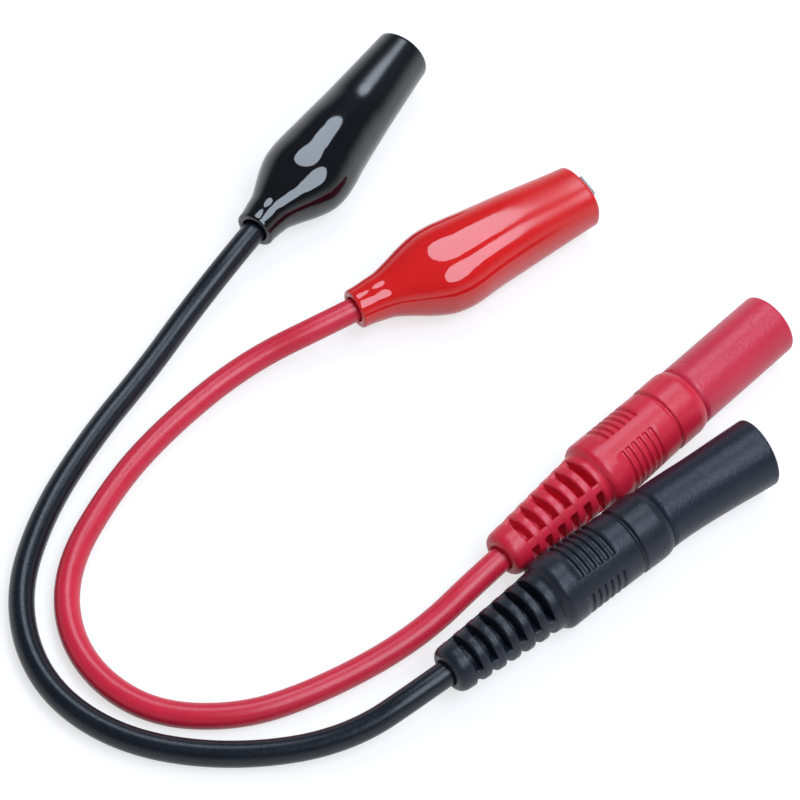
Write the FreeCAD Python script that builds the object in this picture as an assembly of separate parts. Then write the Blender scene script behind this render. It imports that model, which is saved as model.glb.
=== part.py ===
import FreeCAD, Part
import math
import os

# A pair of test leads, one red and one black. Each lead has an alligator clip in a soft boot,
# a round cable that lies on the table, and a shrouded 4 mm plug with a slotted strain relief.
# Millimetres. X points right, Y away, Z up, and the table is at Z = 0.

Vector = FreeCAD.Vector
X_AXIS = Vector(1, 0, 0)
Y_AXIS = Vector(0, 1, 0)
Z_AXIS = Vector(0, 0, 1)

# Cable
CABLE_RADIUS = 1.6
CORE_RADIUS = 0.65
CORE_GAP = 0.05
JACKET_GAP = 0.1
BEND_SHARE = 0.45

# Plug grip, along the axis from the cable end
RELIEF_BLOCK = 2.75
SLOT_COUNT = 6
SLOT_WIDTH = 1.0
RIB_WIDTH = 1.15
RELIEF_RING = 0.7
RELIEF_GROOVE = 0.4
BARREL_LENGTH = 12.0
RING_GROOVE_WIDTH = 0.5
COLLAR_LENGTH = 4.5
COLLAR_NOSE = 1.3

# Plug grip, across the axis
RELIEF_REAR_RADIUS = 3.0
RELIEF_FRONT_RADIUS = 3.85
RELIEF_CORE_WALL = 0.6
RELIEF_GROOVE_DEPTH = 0.4
SPINE_COUNT = 3
SPINE_WIDTH = 1.2
SPINE_DROP = 0.06
BARREL_PROUD = 0.23
BARREL_TAPER = 0.3
COLLAR_STEP = 0.32
COLLAR_NOSE_DROP = 0.27
RING_GROOVE_DEPTH = 0.3
BLOCK_ROUND = 0.9
RIB_ROUND = 0.3
SHOULDER_ROUND = 1.1
EDGE_ROUND = 0.12

# Finger grooves in the barrel, in pads with plain strips between them
PAD_COUNT = 3
PAD_START = 3.4
PAD_STRIP = 2.5
FINGER_GROOVE_COUNT = 6
FINGER_GROOVE_PITCH = 1.0
FINGER_GROOVE_WIDTH = 0.5
FINGER_GROOVE_DEPTH = 0.22
STRIP_FROM_SPINE = -38.0

# Plug shroud and contact
SHROUD_RADIUS = 4.2
SHROUD_WALL = 1.0
SHROUD_REACH = 16.5
SHROUD_SEAT = 4.2
SHROUD_STEP = 0.2
SHROUD_BASE = 2.9
INSERT_GAP = 0.03
CUP_WALL = 1.0
CUP_LENGTH = 9.5
CUP_BORE_DEPTH = 4.5
JACKET_IN_PLUG = 9.0
FLANGE_RADIUS = 2.6
FLANGE_LENGTH = 1.0
SHANK_RADIUS = 1.55
PIN_RADIUS = 1.2
PIN_HEAD_RADIUS = 1.75
PIN_HEAD_LENGTH = 1.5
PIN_SETBACK = 1.7
CONTACT_RADIUS = 2.0
LEAF_SHEET = 0.2
LEAF_COUNT = 6
LEAF_SLOT = 0.4
LEAF_BAND = 1.5
LEAF_RAMP = 3.0
SPRING_END_PLAY = 0.2

# Clip boot
RED_MOUTH_WIDTH = 8.5
BLACK_MOUTH_WIDTH = 7.8
BOOT_WALL = 0.95
BOOT_NECK_LENGTH = 3.0
BOOT_NECK_FLARE = 0.3
BULGE_AT = 13.4
BULGE_WIRE_SIDE = 5.4
BULGE_LEVER_SIDE = 6.8
BULGE_HEIGHT = 9.6
MOUTH_HEIGHT = 7.8
ROUND_POWER = 2.0
BOOT_POWER = 2.4
NECK_FLARE = ((0.0, 0.0), (0.3, 0.15), (0.65, 0.5), (1.0, 1.0))
REAR_SWELL = ((0.15, 0.09), (0.35, 0.36), (0.55, 0.66), (0.78, 0.92))
FRONT_TAPER = ((0.10, 0.06), (0.25, 0.28), (0.50, 0.55), (0.75, 0.79))
SECTION_POINTS = 16

# Clip jaws, pressed from steel sheet
SHEET = 0.45
PIVOT_AT = 19.5
JAW_LENGTH = 16.5
RED_JAW_PROUD = 1.0
BLACK_JAW_PROUD = -0.3
JAW_ROOT_DEPTH = 3.0
JAW_TIP_DEPTH = 1.55
JAW_ROOT_WIDTH = 4.8
JAW_TIP_WIDTH = 3.4
JAW_TAPER_START = 2.5
WALL_BEHIND_PIVOT = 2.0
BITE_GAP = 0.08
TOOTH_COUNT = 8
TOOTH_PITCH = 1.45
TOOTH_DEPTH = 0.7
FIRST_TOOTH = 4.6
EAR_RADIUS = 2.0
EAR_ROOM = 0.4
EAR_SIDE_GAP = 0.1
PIVOT_RADIUS = 0.8
PIVOT_PRESS_GAP = 0.02
PIVOT_RUN_GAP = 0.05
RIVET_HEAD_RADIUS = 1.3
RIVET_HEAD = 0.35
TAIL_WIDTH = 3.8
CRIMP_STRIP_WIDTH = 2.2
TAIL_HEEL = (5.0, 3.6)
LEVER_HEEL = (5.3, 4.5)
LEVER_LENGTH = 7.1
LEVER_WIDTH = 3.4
CABLE_CRIMP_AT = 6.0
CABLE_CRIMP_LENGTH = 2.2
CORE_CRIMP_AT = 9.4
CORE_CRIMP_LENGTH = 1.5
CRIMP_SEAM = 0.7
CRIMP_STICK_OUT = 0.2
CRIMP_SINK = 0.1

# Torsion spring round the jaw pivot
WIRE_RADIUS = 0.22
COIL_GAP = 0.18
COIL_SIDE_GAP = 0.08
COIL_TURNS = 2
LEG_GAP = 0.1

# Where each lead lies. Route points are x, y and the room under the cable, from clip to plug.
EXIT_RUN = 2.5
LEADS = {
    "red": {
        "clip": (-20.1, 4.85),
        "clip_heading": 32.0,
        "jaw_proud": RED_JAW_PROUD,
        "mouth_width": RED_MOUTH_WIDTH,
        "plug": (-2.0, -32.0),
        "plug_heading": 44.9,
        "spine_angle": 44.0,
        "route": (
            (-33.7, -1.6, 0.8),
            (-43.2, -10.6, 0.0),
            (-49.8, -19.8, 0.0),
            (-55.3, -32.5, 0.0),
            (-53.1, -43.8, 0.0),
            (-44.6, -51.4, 0.0),
            (-33.1, -52.2, 0.0),
            (-22.7, -48.0, 0.0),
            (-12.0, -41.6, 0.8),
        ),
    },
    "black": {
        "clip": (-33.5, 17.1),
        "clip_heading": 57.2,
        "jaw_proud": BLACK_JAW_PROUD,
        "mouth_width": BLACK_MOUTH_WIDTH,
        "plug": (-8.65, -47.8),
        "plug_heading": 39.2,
        "spine_angle": 82.0,
        "route": (
            (-41.3, 6.4, 0.8),
            (-46.6, -2.6, 0.0),
            (-52.9, -12.5, 0.0),
            (-58.5, -24.4, 0.0),
            (-60.7, -36.4, 0.0),
            (-56.8, -47.8, 0.0),
            (-47.3, -55.1, 0.0),
            (-34.3, -57.4, 0.0),
            (-20.6, -55.7, 0.8),
        ),
    },
}

# Places along the plug's axis that several pieces share
FIRST_SLOT = RELIEF_BLOCK
LAST_SLOT_END = FIRST_SLOT + SLOT_COUNT * SLOT_WIDTH + (SLOT_COUNT - 1) * RIB_WIDTH
RELIEF_END = LAST_SLOT_END + RELIEF_RING
BARREL_START = RELIEF_END + RELIEF_GROOVE
BARREL_END = BARREL_START + BARREL_LENGTH
COLLAR_START = BARREL_END + RING_GROOVE_WIDTH
COLLAR_END = COLLAR_START + COLLAR_LENGTH
SHROUD_START = COLLAR_END - SHROUD_SEAT
SHROUD_FLOOR = SHROUD_START + SHROUD_BASE
PLUG_END = COLLAR_END + SHROUD_REACH
FLANGE_START = SHROUD_START - FLANGE_LENGTH
CUP_START = FLANGE_START - CUP_LENGTH
PIN_END = PLUG_END - PIN_SETBACK
HEAD_START = PIN_END - PIN_HEAD_LENGTH
SPRING_START = SHROUD_FLOOR + SPRING_END_PLAY
SPRING_END = HEAD_START - SPRING_END_PLAY
CONTACT_START = SPRING_START + LEAF_BAND + LEAF_RAMP
CONTACT_END = SPRING_END - LEAF_BAND - LEAF_RAMP

# Sizes that follow from the ones above
COLLAR_RADIUS = SHROUD_RADIUS + COLLAR_STEP
BARREL_RADIUS = COLLAR_RADIUS + BARREL_PROUD
JACKET_BORE = CORE_RADIUS + CORE_GAP
CABLE_HOLE = CABLE_RADIUS + JACKET_GAP
SLOT_FLOOR = CABLE_HOLE + RELIEF_CORE_WALL
SEAT_RADIUS = SHROUD_RADIUS - SHROUD_STEP
CUP_RADIUS = JACKET_BORE + CUP_WALL
NECK_RADIUS = CABLE_HOLE + BOOT_WALL
PLUG_HEIGHT = BARREL_RADIUS
CLIP_HEIGHT = BULGE_HEIGHT / 2
JAW_TIP = PIVOT_AT + JAW_LENGTH
JAW_HALF_WIDTH = JAW_ROOT_WIDTH / 2
INNER_EAR = JAW_HALF_WIDTH - SHEET - EAR_SIDE_GAP
CABLE_CRIMP_END = CABLE_CRIMP_AT + CABLE_CRIMP_LENGTH
CORE_CRIMP_END = CORE_CRIMP_AT + CORE_CRIMP_LENGTH
JACKET_END_IN_CLIP = CABLE_CRIMP_END + CRIMP_STICK_OUT
CORE_END_IN_CLIP = CORE_CRIMP_END + CRIMP_STICK_OUT
CORE_END_IN_PLUG = CUP_START + CUP_BORE_DEPTH - CRIMP_STICK_OUT
COIL_RADIUS = PIVOT_RADIUS + COIL_GAP + WIRE_RADIUS


def rounded_edges(points, radii):
    """Straight runs joined by tangent arcs, with one radius for each inner point, 0 for a sharp corner."""
    edges = []
    start = points[0]
    for before, corner, after, radius in zip(points, points[1:], points[2:], radii):
        arrive = (before - corner).normalize()
        leave = (after - corner).normalize()
        half_turn = (math.pi - arrive.getAngle(leave)) / 2
        cut = radius * math.tan(half_turn)
        first = corner + arrive * cut
        last = corner + leave * cut
        edges.append(Part.makeLine(start, first))
        if radius > 0:
            sagitta = radius / math.cos(half_turn) - radius
            middle = corner + (arrive + leave).normalize() * sagitta
            edges.append(Part.Arc(first, middle, last).toShape())
        start = last
    edges.append(Part.makeLine(start, points[-1]))
    return edges


def turned(outline):
    """Solid turned about X from a closed outline of (x, radius, corner round) points."""
    points = [Vector(x, 0, radius) for x, radius, _ in outline]
    rounds = [corner for _, _, corner in outline[1:]]
    edges = rounded_edges(points + points[:1], rounds)
    return Part.Face(Part.Wire(edges)).revolve(Vector(), X_AXIS, 360)


def about_axis(shape, angle):
    """A copy turned about the plug's axis, from the top towards the right-hand side."""
    turned_copy = shape.copy()
    turned_copy.rotate(Vector(), X_AXIS, angle)
    return turned_copy


def prism(points, low, high):
    """Upright prism over a polygon of (x, y) points."""
    corners = [Vector(x, y, low) for x, y in points]
    face = Part.Face(Part.makePolygon(corners + corners[:1]))
    return face.extrude(Z_AXIS * (high - low))


def disc(radius, low, high, x=0.0):
    return Part.makeCylinder(radius, high - low, Vector(x, 0, low))


def rod(radius, start, end):
    """Cylinder along X."""
    return Part.makeCylinder(radius, end - start, Vector(start, 0, 0), X_AXIS)


def fused(shapes):
    return shapes[0].multiFuse(shapes[1:]).removeSplitter().Solids[0]


def placed(shape, spot, height, heading):
    moved = shape.copy()
    moved.rotate(Vector(), Z_AXIS, heading)
    moved.translate(Vector(spot[0], spot[1], height))
    return moved


def placed_point(x, y, spot, height, heading):
    turn = FreeCAD.Rotation(Z_AXIS, heading)
    return turn.multVec(Vector(x, y, 0)) + Vector(spot[0], spot[1], height)


def relief_radius(x):
    share = x / RELIEF_END
    return RELIEF_REAR_RADIUS + (RELIEF_FRONT_RADIUS - RELIEF_REAR_RADIUS) * share


def slot_starts():
    return [FIRST_SLOT + number * (SLOT_WIDTH + RIB_WIDTH) for number in range(SLOT_COUNT)]


def grip_outline():
    """Outside from the cable end to the collar's nose, then the stepped bore back again."""
    outline = [(0, CABLE_HOLE, 0), (0, RELIEF_REAR_RADIUS, BLOCK_ROUND)]
    for start in slot_starts():
        end = start + SLOT_WIDTH
        outline += [(start, relief_radius(start), RIB_ROUND), (start, SLOT_FLOOR, 0)]
        outline += [(end, SLOT_FLOOR, 0), (end, relief_radius(end), RIB_ROUND)]
    groove_floor = RELIEF_FRONT_RADIUS - RELIEF_GROOVE_DEPTH
    barrel_front = BARREL_RADIUS - BARREL_TAPER
    ring_floor = min(barrel_front, COLLAR_RADIUS) - RING_GROOVE_DEPTH
    outline += [
        (RELIEF_END, RELIEF_FRONT_RADIUS, EDGE_ROUND),
        (RELIEF_END, groove_floor, 0),
        (BARREL_START, groove_floor, 0),
        (BARREL_START, BARREL_RADIUS, SHOULDER_ROUND),
        (BARREL_END, barrel_front, EDGE_ROUND),
        (BARREL_END, ring_floor, 0),
        (COLLAR_START, ring_floor, 0),
        (COLLAR_START, COLLAR_RADIUS, EDGE_ROUND),
        (COLLAR_END - COLLAR_NOSE, COLLAR_RADIUS, COLLAR_NOSE),
        (COLLAR_END, COLLAR_RADIUS - COLLAR_NOSE_DROP, EDGE_ROUND),
        (COLLAR_END, SEAT_RADIUS + INSERT_GAP, 0),
        (SHROUD_START, SEAT_RADIUS + INSERT_GAP, 0),
        (SHROUD_START, FLANGE_RADIUS + INSERT_GAP, 0),
        (FLANGE_START, FLANGE_RADIUS + INSERT_GAP, 0),
        (FLANGE_START, CUP_RADIUS + INSERT_GAP, 0),
        (CUP_START, CUP_RADIUS + INSERT_GAP, 0),
        (CUP_START, JACKET_BORE, 0),
        (JACKET_IN_PLUG, JACKET_BORE, 0),
        (JACKET_IN_PLUG, CABLE_HOLE, 0),
    ]
    return outline


def relief_spines(spine_angle):
    """Lengthwise spines that join the strain relief's ribs."""
    start = FIRST_SLOT - RIB_ROUND
    end = LAST_SLOT_END + RIB_ROUND
    root = (SLOT_FLOOR + CABLE_HOLE) / 2
    rear_corners = [(start, root, 0), (start, relief_radius(start) - SPINE_DROP, 0)]
    front_corners = [(end, relief_radius(end) - SPINE_DROP, 0), (end, root, 0)]
    cone = turned(rear_corners + front_corners)
    corner = Vector(start, -SPINE_WIDTH / 2, 0)
    spine = Part.makeBox(end - start, SPINE_WIDTH, RELIEF_FRONT_RADIUS, corner).common(cone)
    return [about_axis(spine, spine_angle + 360.0 / SPINE_COUNT * number) for number in range(SPINE_COUNT)]


def finger_grooves(strip_angle):
    """Arc-shaped grooves across each pad of the barrel."""
    pad_pitch = 360.0 / PAD_COUNT
    strip_width = math.degrees(PAD_STRIP / BARREL_RADIUS)
    grooves = []
    for number in range(FINGER_GROOVE_COUNT):
        x = BARREL_START + PAD_START + number * FINGER_GROOVE_PITCH
        surface = BARREL_RADIUS - BARREL_TAPER * (x - BARREL_START) / BARREL_LENGTH
        low = surface - FINGER_GROOVE_DEPTH
        high = surface + FINGER_GROOVE_DEPTH
        corners = [Vector(x, 0, low), Vector(x + FINGER_GROOVE_WIDTH, 0, low)]
        corners += [Vector(x + FINGER_GROOVE_WIDTH, 0, high), Vector(x, 0, high)]
        section = Part.Face(Part.makePolygon(corners + corners[:1]))
        groove = section.revolve(Vector(), X_AXIS, pad_pitch - strip_width)
        for pad in range(PAD_COUNT):
            grooves.append(about_axis(groove, strip_angle + strip_width / 2 + pad * pad_pitch))
    return grooves


def plug_grip(spine_angle):
    body = fused([turned(grip_outline())] + relief_spines(spine_angle))
    return body.cut(Part.makeCompound(finger_grooves(spine_angle + STRIP_FROM_SPINE))).Solids[0]


def plug_shroud():
    inner = SHROUD_RADIUS - SHROUD_WALL
    hole = SHANK_RADIUS + INSERT_GAP
    return turned([
        (SHROUD_START, hole, 0),
        (SHROUD_START, SEAT_RADIUS, 0),
        (COLLAR_END, SEAT_RADIUS, 0),
        (COLLAR_END, SHROUD_RADIUS, 0),
        (PLUG_END, SHROUD_RADIUS, EDGE_ROUND),
        (PLUG_END, inner, EDGE_ROUND),
        (SHROUD_FLOOR, inner, 0),
        (SHROUD_FLOOR, hole, 0),
    ])


def plug_contact():
    """Solder cup, flange, shank and pin in one turned piece, with the head that keeps the spring on."""
    head_round = PIN_HEAD_LENGTH / 2
    return turned([
        (CUP_START, JACKET_BORE, 0),
        (CUP_START, CUP_RADIUS, EDGE_ROUND),
        (FLANGE_START, CUP_RADIUS, 0),
        (FLANGE_START, FLANGE_RADIUS, EDGE_ROUND),
        (SHROUD_START, FLANGE_RADIUS, EDGE_ROUND),
        (SHROUD_START, SHANK_RADIUS, 0),
        (SHROUD_FLOOR, SHANK_RADIUS, EDGE_ROUND),
        (SHROUD_FLOOR, PIN_RADIUS, 0),
        (HEAD_START, PIN_RADIUS, 0),
        (HEAD_START, PIN_HEAD_RADIUS, EDGE_ROUND),
        (PIN_END, PIN_HEAD_RADIUS, head_round),
        (PIN_END, 0, 0),
        (CUP_START + CUP_BORE_DEPTH, 0, 0),
        (CUP_START + CUP_BORE_DEPTH, JACKET_BORE, 0),
    ])


def contact_spring():
    """Lantern spring: two bands on the pin, joined by leaves that bow out to the contact diameter."""
    band_inside = PIN_RADIUS + PIVOT_RUN_GAP
    band_outside = band_inside + LEAF_SHEET
    outside = [
        (SPRING_START, band_outside),
        (SPRING_START + LEAF_BAND, band_outside),
        (CONTACT_START, CONTACT_RADIUS),
        (CONTACT_END, CONTACT_RADIUS),
        (SPRING_END - LEAF_BAND, band_outside),
        (SPRING_END, band_outside),
    ]
    inside = [(x, radius - LEAF_SHEET) for x, radius in reversed(outside)]
    barrel = turned([(x, radius, 0) for x, radius in outside + inside])
    slot_length = SPRING_END - SPRING_START - LEAF_BAND
    corner = Vector(SPRING_START + LEAF_BAND / 2, -LEAF_SLOT / 2, 0)
    slot = Part.makeBox(slot_length, LEAF_SLOT, CONTACT_RADIUS + LEAF_SHEET, corner)
    slots = [about_axis(slot, 360.0 / LEAF_COUNT * number) for number in range(LEAF_COUNT)]
    return barrel.cut(Part.makeCompound(slots)).Solids[0]


def boot_stations(length, mouth_width):
    """Half sizes along the boot: x, wire side, lever side, height and the power that squares the section."""
    neck_end = NECK_RADIUS + BOOT_NECK_FLARE
    bulge = (BULGE_WIRE_SIDE, BULGE_LEVER_SIDE, BULGE_HEIGHT / 2)
    mouth = (mouth_width / 2, mouth_width / 2, MOUTH_HEIGHT / 2)
    stations = []
    for along, flare in NECK_FLARE:
        sizes = (NECK_RADIUS + flare * BOOT_NECK_FLARE,) * 3
        stations.append((along * BOOT_NECK_LENGTH, sizes, ROUND_POWER))
    for along, swell in REAR_SWELL + ((1.0, 1.0),):
        x = BOOT_NECK_LENGTH + along * (BULGE_AT - BOOT_NECK_LENGTH)
        sizes = tuple(neck_end + swell * (size - neck_end) for size in bulge)
        stations.append((x, sizes, ROUND_POWER + swell * (BOOT_POWER - ROUND_POWER)))
    for along, taper in FRONT_TAPER + ((1.0, 1.0),):
        x = BULGE_AT + along * (length - BULGE_AT)
        sizes = tuple(wide + taper * (narrow - wide) for wide, narrow in zip(bulge, mouth))
        stations.append((x, sizes, BOOT_POWER))
    return stations


def boot_section(x, sizes, power, inset):
    """Closed smooth outline across the boot, wider on the lever side."""
    wire_side, lever_side, height = (size - inset for size in sizes)
    points = []
    for number in range(SECTION_POINTS):
        angle = 2 * math.pi * number / SECTION_POINTS
        across = math.copysign(abs(math.cos(angle)) ** (ROUND_POWER / power), math.cos(angle))
        up = math.copysign(abs(math.sin(angle)) ** (ROUND_POWER / power), math.sin(angle))
        side = wire_side if across > 0 else lever_side
        points.append(Vector(x, side * across, height * up))
    curve = Part.BSplineCurve()
    curve.interpolate(Points=points, PeriodicFlag=True, Parameters=list(range(SECTION_POINTS + 1)))
    return Part.Wire(curve.toShape())


def boot_loft(length, mouth_width, inset):
    stations = boot_stations(length, mouth_width)
    sections = [boot_section(x, sizes, power, inset) for x, sizes, power in stations]
    return Part.makeLoft(sections, True, False)


def clip_boot(length, mouth_width):
    outside = boot_loft(length, mouth_width, 0.0)
    return outside.cut(boot_loft(length, mouth_width, BOOT_WALL)).Solids[0]


def jaw_plan(inset):
    """Seen along the jaw's depth, a jaw is widest at the pivot and narrows to the tip."""
    rear = PIVOT_AT - LEVER_LENGTH - TAIL_WIDTH
    shoulder = PIVOT_AT + JAW_TAPER_START
    root = JAW_HALF_WIDTH - inset
    tip = JAW_TIP_WIDTH / 2 - inset
    front = JAW_TIP - inset
    upper = [(rear, root), (shoulder, root), (front, tip)]
    lower = [(x, -z) for x, z in reversed(upper)]
    return side_prism(upper + lower)


def jaw_roof(x, heel):
    """Depth of the jaw's roof behind and in front of the pivot."""
    heel_x = PIVOT_AT - heel[0]
    if x < PIVOT_AT:
        share = (x - heel_x) / heel[0]
        return heel[1] + (JAW_ROOT_DEPTH - heel[1]) * share
    share = (x - PIVOT_AT) / (JAW_TIP - PIVOT_AT)
    return JAW_ROOT_DEPTH + (JAW_TIP_DEPTH - JAW_ROOT_DEPTH) * share


def jaw_teeth():
    notches = []
    for number in range(TOOTH_COUNT):
        x = PIVOT_AT + FIRST_TOOTH + number * TOOTH_PITCH
        half = TOOTH_PITCH / 2
        below = BITE_GAP - TOOTH_DEPTH / 2
        triangle = [(x - half, below), (x + half, below), (x, BITE_GAP + TOOTH_DEPTH)]
        notches.append(prism(triangle, -JAW_HALF_WIDTH, JAW_HALF_WIDTH))
    return notches


def jaw_channel(heel):
    """Toothed channel of one jaw on the +Y side, from just behind the pivot to the tip."""
    rear = PIVOT_AT - WALL_BEHIND_PIVOT
    block = [(rear, BITE_GAP), (JAW_TIP, BITE_GAP), (JAW_TIP, JAW_TIP_DEPTH)]
    block += [(PIVOT_AT, JAW_ROOT_DEPTH), (rear, jaw_roof(rear, heel))]
    room_end = JAW_TIP - SHEET
    room = [(rear - SHEET, 0), (room_end, 0), (room_end, jaw_roof(room_end, heel) - SHEET)]
    room += [(PIVOT_AT, JAW_ROOT_DEPTH - SHEET), (rear - SHEET, jaw_roof(rear - SHEET, heel) - SHEET)]
    outer = prism(block, -JAW_HALF_WIDTH, JAW_HALF_WIDTH).common(jaw_plan(0.0))
    inner = prism(room, -JAW_HALF_WIDTH, JAW_HALF_WIDTH).common(jaw_plan(SHEET))
    return outer.cut(Part.makeCompound([inner] + jaw_teeth()))


def sheet_strip(roof, width):
    """Bent sheet under a line of (x, y) roof points."""
    floor = [(x, y - SHEET) for x, y in reversed(roof)]
    return prism(roof + floor, -width / 2, width / 2)


def side_prism(points):
    """Prism from the middle plane to past the boot's wire side, over a polygon of (x, z) points."""
    corners = [Vector(x, 0, z) for x, z in points]
    face = Part.Face(Part.makePolygon(corners + corners[:1]))
    return face.extrude(Y_AXIS * BULGE_WIRE_SIDE)


def crimp(hole, start, end):
    """Rolled crimp with its seam on the side away from the tail."""
    ring = rod(hole + SHEET, start, end).cut(rod(hole, start, end))
    seam = prism([(start, -hole - 2 * SHEET), (end, -hole - 2 * SHEET), (end, 0), (start, 0)], 0, CRIMP_SEAM)
    seam.translate(Vector(0, 0, -CRIMP_SEAM / 2))
    return ring.cut(seam)


def tail_plan(front):
    """Seen along the jaw's depth, the tail is narrow at the crimps and widens to the heel."""
    narrow = CRIMP_STRIP_WIDTH / 2
    wide = TAIL_WIDTH / 2
    heel = PIVOT_AT - TAIL_HEEL[0]
    upper = [(CABLE_CRIMP_AT, narrow), (CORE_CRIMP_END, narrow), (heel, wide), (front, wide)]
    lower = [(x, -z) for x, z in reversed(upper)]
    return side_prism(upper + lower)


def fixed_jaw():
    """Jaw with the outer ears, and the tail that is crimped on the cable and its core."""
    cable_roof = CABLE_HOLE + SHEET - CRIMP_SINK
    core_roof = JACKET_BORE + SHEET - CRIMP_SINK
    rear = PIVOT_AT - WALL_BEHIND_PIVOT
    tail = sheet_strip([
        (CABLE_CRIMP_AT, cable_roof),
        (CABLE_CRIMP_END, cable_roof),
        (CORE_CRIMP_AT, core_roof),
        (CORE_CRIMP_END, core_roof),
        (PIVOT_AT - TAIL_HEEL[0], TAIL_HEEL[1]),
        (rear + SHEET, jaw_roof(rear + SHEET, TAIL_HEEL)),
    ], TAIL_WIDTH)
    tail = tail.common(tail_plan(rear + SHEET))
    tail = tail.cut(rod(CABLE_HOLE, CABLE_CRIMP_AT - SHEET, JACKET_END_IN_CLIP))
    tail = tail.cut(rod(JACKET_BORE, CORE_CRIMP_AT - SHEET, CORE_END_IN_CLIP))
    cable_crimp = crimp(CABLE_HOLE, CABLE_CRIMP_AT, CABLE_CRIMP_END)
    core_crimp = crimp(JACKET_BORE, CORE_CRIMP_AT, CORE_CRIMP_END)
    ears = [disc(EAR_RADIUS, low, low + SHEET, PIVOT_AT) for low in (-JAW_HALF_WIDTH, JAW_HALF_WIDTH - SHEET)]
    jaw = fused([jaw_channel(TAIL_HEEL), tail, cable_crimp, core_crimp] + ears)
    return jaw.cut(disc(PIVOT_RADIUS + PIVOT_PRESS_GAP, -JAW_ROOT_WIDTH, JAW_ROOT_WIDTH, PIVOT_AT)).Solids[0]


def moving_jaw():
    """Jaw with the inner ears and the thumb lever, on the -Y side."""
    rear = PIVOT_AT - WALL_BEHIND_PIVOT
    room = disc(EAR_RADIUS + EAR_ROOM, -JAW_ROOT_WIDTH, JAW_ROOT_WIDTH, PIVOT_AT)
    lever = sheet_strip([
        (PIVOT_AT - LEVER_LENGTH, LEVER_HEEL[1]),
        (PIVOT_AT - LEVER_HEEL[0], LEVER_HEEL[1]),
        (rear + SHEET, jaw_roof(rear + SHEET, LEVER_HEEL)),
    ], LEVER_WIDTH)
    ear_radius = EAR_RADIUS - EAR_SIDE_GAP
    web_front = PIVOT_AT + ear_radius
    web_rear = PIVOT_AT - ear_radius
    web = [(web_rear, 0), (web_front, 0)]
    web += [(x, jaw_roof(x, LEVER_HEEL) - SHEET / 2) for x in (web_front, PIVOT_AT, web_rear)]
    ears = []
    for low in (-INNER_EAR, INNER_EAR - SHEET):
        ears.append(disc(ear_radius, low, low + SHEET, PIVOT_AT))
        ears.append(prism(web, low, low + SHEET))
    jaw = fused([jaw_channel(LEVER_HEEL).cut(room), lever] + ears)
    jaw = jaw.cut(disc(PIVOT_RADIUS + PIVOT_RUN_GAP, -JAW_ROOT_WIDTH, JAW_ROOT_WIDTH, PIVOT_AT)).Solids[0]
    return jaw.mirror(Vector(), Y_AXIS)


def jaw_pin():
    """Rivet through the four ears."""
    top = JAW_HALF_WIDTH
    shank = disc(PIVOT_RADIUS, -top, top, PIVOT_AT)
    heads = [disc(RIVET_HEAD_RADIUS, low, low + RIVET_HEAD, PIVOT_AT) for low in (-top - RIVET_HEAD, top)]
    return fused([shank] + heads)


def biarc_edges(start, start_way, end, end_way):
    """Two arcs, tangent to each other and to the way in and out."""
    span = end - start
    ways = start_way + end_way
    spread = 2 * (1 - start_way.dot(end_way))
    reach = (-span.dot(ways) + math.sqrt(span.dot(ways) ** 2 + spread * span.dot(span))) / spread
    first = start + start_way * reach
    second = end - end_way * reach
    join = (first + second) * 0.5
    edges = []
    for a, knee, b in ((start, first, join), (join, second, end)):
        weight = (b - a).Length / (2 * (knee - a).Length)
        middle = (a + knee * (2 * weight) + b) * (1 / (2 + 2 * weight))
        edges.append(Part.Arc(a, middle, b).toShape())
    return edges


def leg_angle(leg_end, side):
    """Angle on the coil where a straight leg to the given point is tangent."""
    away = math.atan2(leg_end.y, leg_end.x)
    return away + side * math.acos(COIL_RADIUS / math.hypot(leg_end.x, leg_end.y))


def jaw_spring():
    """Torsion spring: a leg against each handle and a coil round the rivet, as one tube."""
    clear = SHEET + WIRE_RADIUS + LEG_GAP
    lever_end = Vector(-LEVER_HEEL[0], clear - LEVER_HEEL[1], 0)
    tail_end = Vector(-TAIL_HEEL[0], TAIL_HEEL[1] - clear, 0)
    first = leg_angle(lever_end, 1)
    last = leg_angle(tail_end, -1) + 2 * math.pi * COIL_TURNS
    steps = 4 * COIL_TURNS + 2
    coil_room = 2 * (INNER_EAR - SHEET - COIL_SIDE_GAP - WIRE_RADIUS)
    rise = coil_room / (last - first)
    middle = (first + last) / 2
    slope = math.atan2(rise, COIL_RADIUS)
    stations = []
    for number in range(steps + 1):
        angle = first + (last - first) * number / steps
        level = 0.0 if number in (0, steps) else slope
        point = Vector(COIL_RADIUS * math.cos(angle), COIL_RADIUS * math.sin(angle), rise * (angle - middle))
        flat_way = Vector(-math.sin(angle), math.cos(angle), 0)
        stations.append((point, flat_way * math.cos(level) + Z_AXIS * math.sin(level)))
    start, start_way = stations[0]
    end, end_way = stations[-1]
    edges = [Part.makeLine(Vector(lever_end.x, lever_end.y, start.z), start)]
    for (a, a_way), (b, b_way) in zip(stations, stations[1:]):
        edges += biarc_edges(a, a_way, b, b_way)
    edges.append(Part.makeLine(end, Vector(tail_end.x, tail_end.y, end.z)))
    print("jaw spring gap to itself: %.2f" % self_gap(edges, WIRE_RADIUS, 2 * math.pi * COIL_RADIUS / 2))
    spring = tube(edges, WIRE_RADIUS)
    spring.translate(Vector(PIVOT_AT, 0, 0))
    return spring


def self_gap(edges, radius, least_apart):
    """Least gap between stretches of one tube that lie at least a given length apart, from points on it."""
    points = []
    travelled = 0.0
    for edge in edges:
        count = max(2, int(edge.Length / radius))
        for number in range(count):
            along = edge.Length * number / count
            points.append((travelled + along, edge.valueAt(edge.getParameterByLength(along))))
        travelled += edge.Length
    gaps = [(p - q).Length for s, p in points for t, q in points if t - s > least_apart]
    return min(gaps) - 2 * radius


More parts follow.
